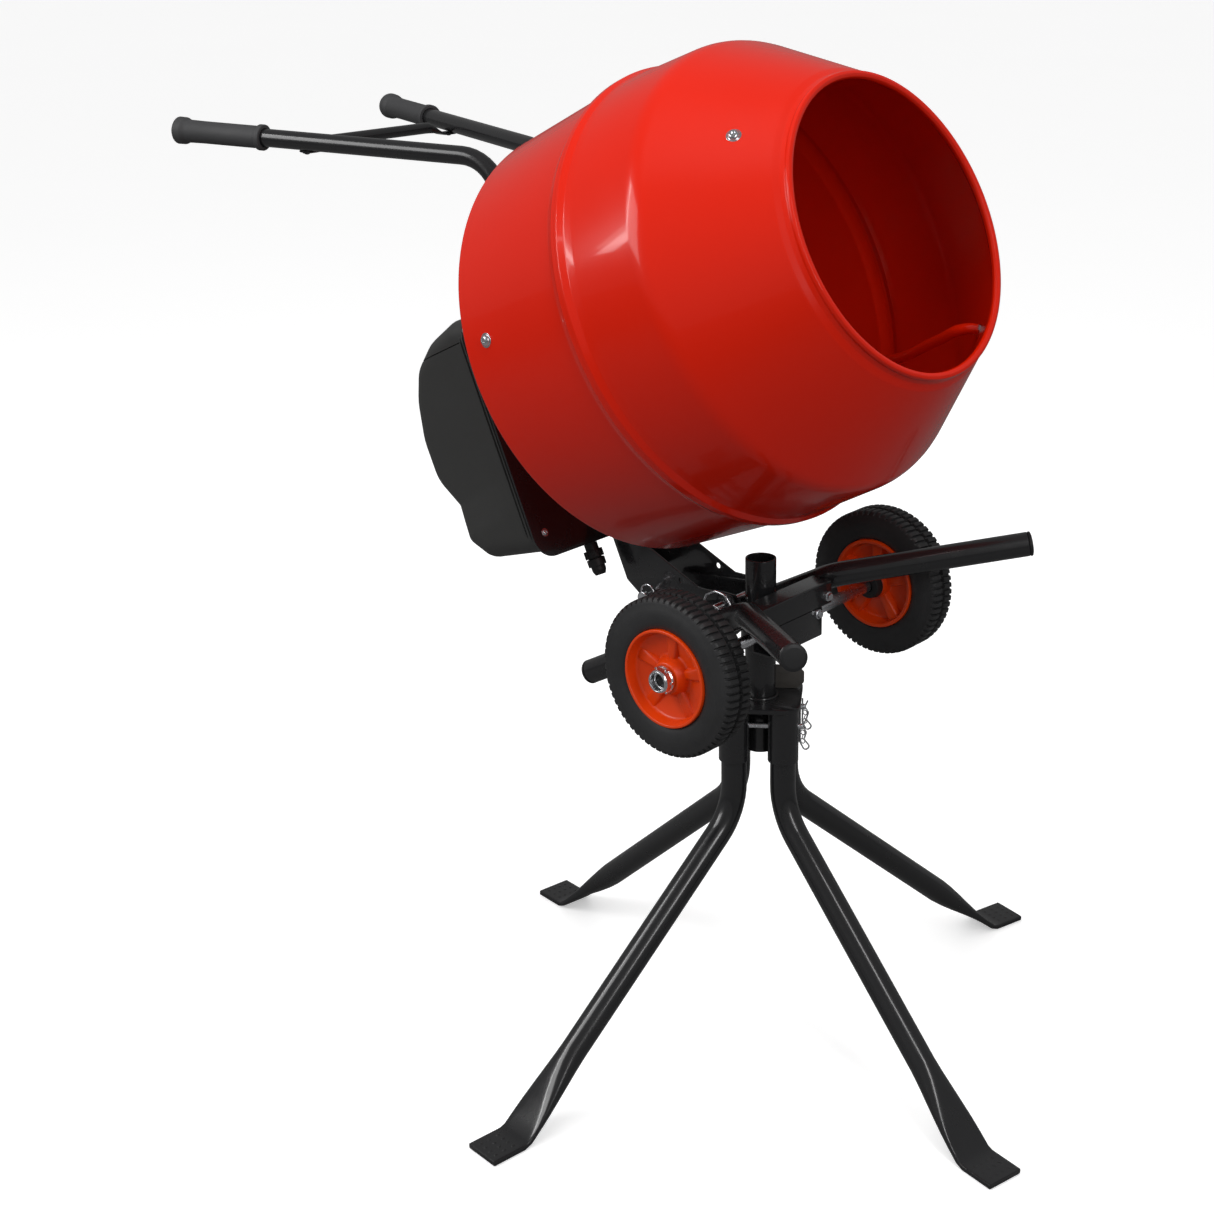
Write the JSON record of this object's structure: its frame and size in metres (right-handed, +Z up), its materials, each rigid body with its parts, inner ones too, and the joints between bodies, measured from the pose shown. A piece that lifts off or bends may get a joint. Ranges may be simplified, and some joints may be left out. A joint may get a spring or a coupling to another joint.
{
  "type": "concrete mixer",
  "caption": "Portable electric concrete mixer with a tipping red drum on a two-wheeled trolley that drops over the post of a four-legged stand.",
  "frame": {"origin": "middle of the mixer's overall footprint, on the ground", "axes": "+X the way the drum's mouth faces, +Y to the left-hand wheel, +Z up; the stand's post is a little in front of the origin"},
  "size_m": [1.3568, 0.9258, 1.3065],
  "materials": {
    "red_paint": "glossy red stove enamel, clean",
    "black_paint": "gloss black powder coat",
    "zinc": "bright zinc plating",
    "steel": "bare turned steel",
    "motor_paint": "grey machine enamel",
    "cap_rubber": "black moulded rubber",
    "tyre": "black solid tyre, slightly dusty",
    "rim_plastic": "orange-red moulded plastic",
    "grip_rubber": "dark grey soft grip",
    "cover_plastic": "dark grey textured plastic",
    "start_green": "green push button",
    "stop_red": "red push button"
  },
  "bodies": {
    "stand": {"stand_post": "black_paint", "stand_head_plate": "black_paint", "stand_back_plate": "black_paint", "swivel_stop_ring": "black_paint", "leg_socket_front_right": "black_paint", "leg_socket_back_right": "black_paint", "leg_socket_back_left": "black_paint", "leg_socket_front_left": "black_paint", "leg_front_right": "black_paint", "leg_back_left": "black_paint", "leg_front_left": "black_paint", "leg_back_right": "black_paint"},
    "front_leg_pin": {"leg_pin_front": "zinc"},
    "back_leg_pin": {"leg_pin_back": "zinc"},
    "trolley": {"swivel_sleeve": "black_paint", "cross_beam": "black_paint", "axle_saddle": "black_paint", "axle": "steel", "side_tube_left": "black_paint", "side_tube_right": "black_paint", "arm_cap_left": "cap_rubber", "arm_cap_right": "cap_rubber", "foot_cap_left": "cap_rubber", "foot_cap_right": "cap_rubber", "tilt_bracket": "black_paint", "tilt_pivot_pin": "zinc", "hub_cap_left": "zinc", "hub_cap_right": "zinc"},
    "left_wheel": {"tyre_left": "tyre", "rim_left": "rim_plastic"},
    "right_wheel": {"tyre_right": "tyre", "rim_right": "rim_plastic"},
    "tipping_unit": {"drum_carrier": "black_paint", "drive_plate": "black_paint", "bearing_housing": "black_paint", "motor": "motor_paint", "drive_belt": "cap_rubber", "motor_cover": "cover_plastic", "motor_cover_top": "cover_plastic", "cable_gland": "cap_rubber", "handle_left": "black_paint", "handle_right": "black_paint", "grip_left": "grip_rubber", "grip_right": "grip_rubber", "handle_brace": "black_paint", "switch_box": "cover_plastic"},
    "drum": {"drum_bowl": "red_paint", "drum_cone": "red_paint", "drum_hub_flange": "black_paint", "drum_shaft": "steel", "drum_gear": "steel", "mixing_bar_a": "red_paint", "mixing_bar_b": "red_paint"},
    "layshaft_set": {"layshaft": "steel", "layshaft_pinion": "steel", "layshaft_pulley": "cover_plastic"},
    "motor_shaft": {"motor_rotor": "steel"},
    "lock_pin": {"tilt_lock_pin": "zinc"},
    "start_switch": {"start_button": "start_green"},
    "stop_switch": {"stop_button": "stop_red"}
  },
  "joints": [
    {"name": "trolley_swivel", "type": "hinge", "parent": "stand", "child": "trolley", "pos_m": [0.21612, 0.00411, 0.5], "axis": [0, 0, 1], "continuous": true},
    {"name": "left_wheel_spin", "type": "hinge", "parent": "trolley", "child": "left_wheel", "pos_m": [0.25712, 0.2181, 0.58], "axis": [0, 1, 0], "continuous": true},
    {"name": "right_wheel_spin", "type": "hinge", "parent": "trolley", "child": "right_wheel", "pos_m": [0.25712, -0.20989, 0.58], "axis": [0, 1, 0], "continuous": true},
    {"name": "drum_tilt", "type": "hinge", "parent": "trolley", "child": "tipping_unit", "pos_m": [0.18762, 0.00411, 0.6], "axis": [0, 1, 0], "range_deg": [0, 46]},
    {"name": "drum_spin", "type": "hinge", "parent": "tipping_unit", "child": "drum", "pos_m": [-0.00188, 0.00411, 0.917], "axis": [0.9078, 0, 0.4195], "continuous": true},
    {"name": "layshaft_spin", "type": "hinge", "parent": "tipping_unit", "child": "layshaft_set", "pos_m": [-0.1087, 0.00411, 0.76674], "axis": [0.9078, 0, 0.4195], "continuous": true},
    {"name": "motor_spin", "type": "hinge", "parent": "tipping_unit", "child": "motor_shaft", "pos_m": [-0.09008, -0.08089, 0.72643], "axis": [0.9078, 0, 0.4195], "continuous": true},
    {"name": "lock_pin_slide", "type": "slide", "parent": "tipping_unit", "child": "lock_pin", "axis": [0, 1, 0], "range_m": [0, 0.012]},
    {"name": "start_press", "type": "slide", "parent": "tipping_unit", "child": "start_switch", "axis": [0, -1, 0], "range_m": [0, 0.004], "stiffness_N_per_m": 300},
    {"name": "stop_press", "type": "slide", "parent": "tipping_unit", "child": "stop_switch", "axis": [0, -1, 0], "range_m": [0, 0.004], "stiffness_N_per_m": 300},
    {"name": "front_pin_slide", "type": "slide", "parent": "stand", "child": "front_leg_pin", "axis": [0.8241, 0.5664, 0], "range_m": [0, 0.13]},
    {"name": "back_pin_slide", "type": "slide", "parent": "stand", "child": "back_leg_pin", "axis": [0.8241, 0.5664, 0], "range_m": [0, 0.13]}
  ],
  "couplings": [
    {"joint": "layshaft_spin", "follows": "drum_spin", "ratio": -7.2727},
    {"joint": "motor_spin", "follows": "drum_spin", "ratio": -53.554}
  ]
}
